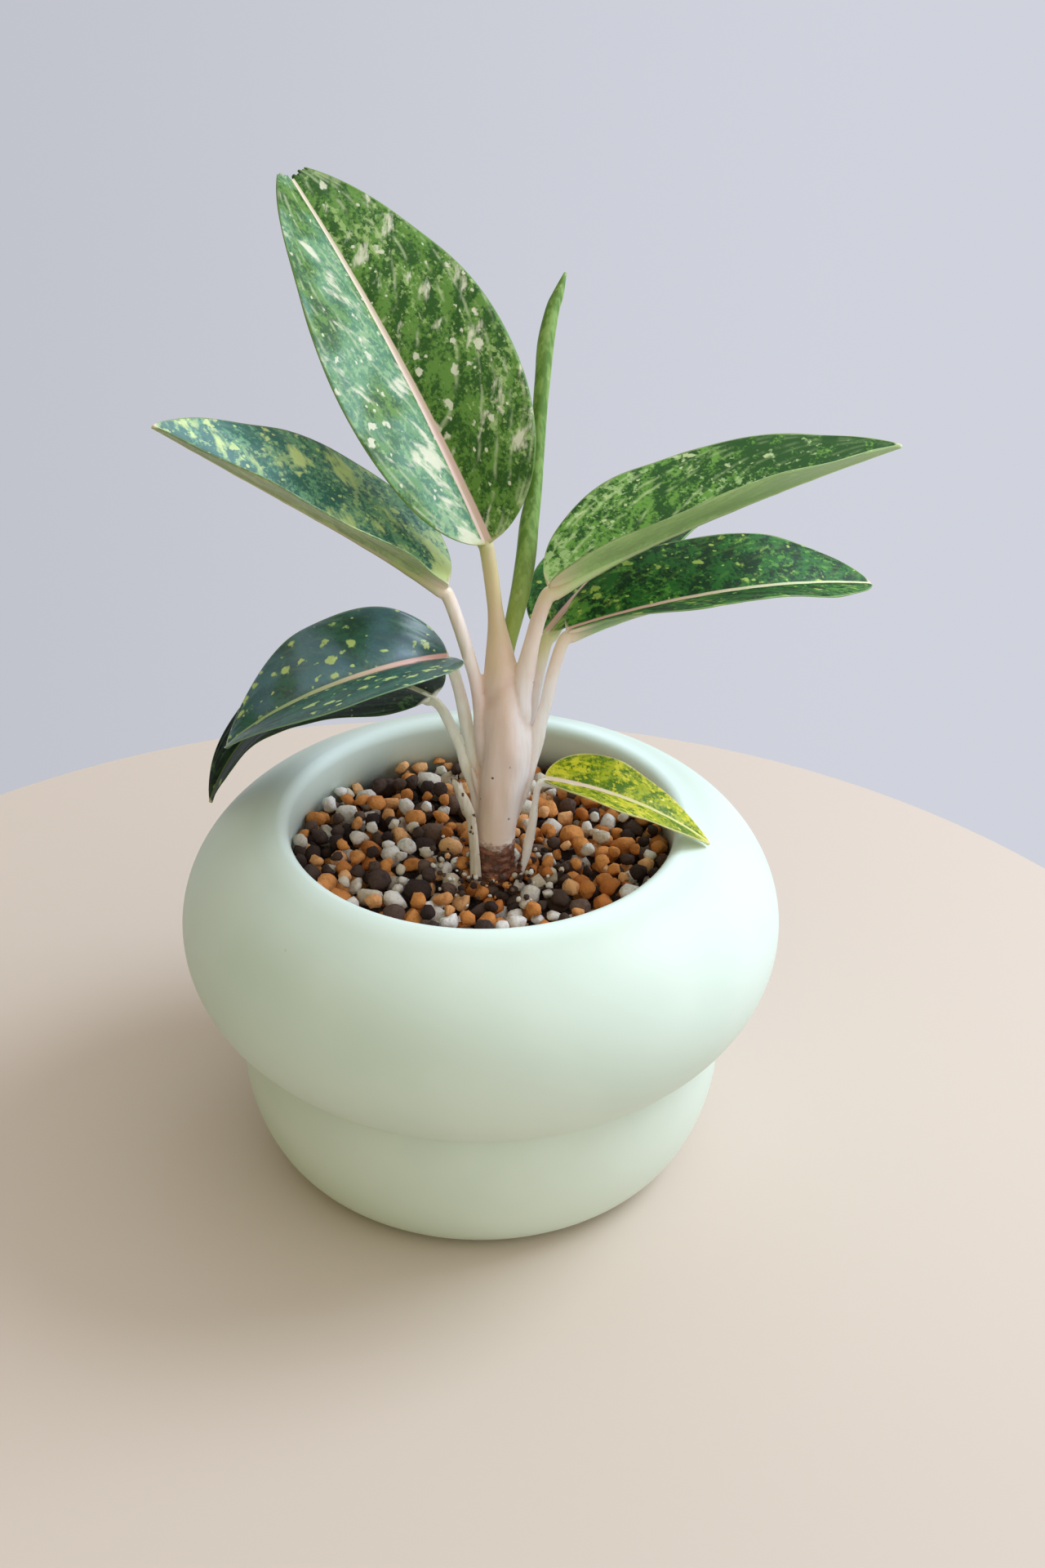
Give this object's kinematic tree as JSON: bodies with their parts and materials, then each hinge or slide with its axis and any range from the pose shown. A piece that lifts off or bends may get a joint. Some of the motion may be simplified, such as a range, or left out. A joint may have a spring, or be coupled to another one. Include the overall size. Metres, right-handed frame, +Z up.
{
  "type": "potted aglaonema",
  "caption": "Young aglaonema with speckled leaves on pale stalks, planted in granular mix in a matte two-lobed round pot. Ornamental; stands on a level surface.",
  "frame": {"origin": "middle of the pot's flat base, on the surface that it stands on", "axes": "+Z up along the pot's axis; +X to the right and +Y to the back, seen from the side that the picture shows"},
  "size_m": [0.163, 0.14, 0.2225],
  "materials": {
    "pot": "matte mint green, very smooth",
    "substrate": "rough granules of tan clay, pale pumice and dark soil",
    "stem": "smooth ivory with a brown ringed foot",
    "petiole": "smooth satin ivory with a pink blush",
    "blade_pale": "glossy mid green with cream speckles and a pink-cream midrib",
    "blade_mid": "glossy green with pale green speckles",
    "blade_dark": "glossy dark green with sparse yellow-green spots and a pink midrib",
    "blade_yellow": "yellow-green, speckled, with a cream edge",
    "rolled_leaf": "smooth satin green",
    "dry_sheath": "dry, papery, pale brown"
  },
  "bodies": {
    "root": {"pot": "pot", "substrate": "substrate", "stem": "stem", "petiole_upright": "petiole", "blade_upright": "blade_pale", "petiole_left_mid": "petiole", "blade_left_mid": "blade_mid", "petiole_right_upper": "petiole", "blade_right_upper": "blade_pale", "petiole_right_lower": "petiole", "blade_right_lower": "blade_dark", "petiole_right_back": "petiole", "blade_right_back": "blade_dark", "petiole_left_lower": "petiole", "blade_left_lower": "blade_dark", "petiole_left_under": "petiole", "blade_left_under": "blade_dark", "petiole_small": "petiole", "blade_small": "blade_yellow", "rolled_leaf": "rolled_leaf", "old_sheath": "dry_sheath"}
  },
  "joints": []
}
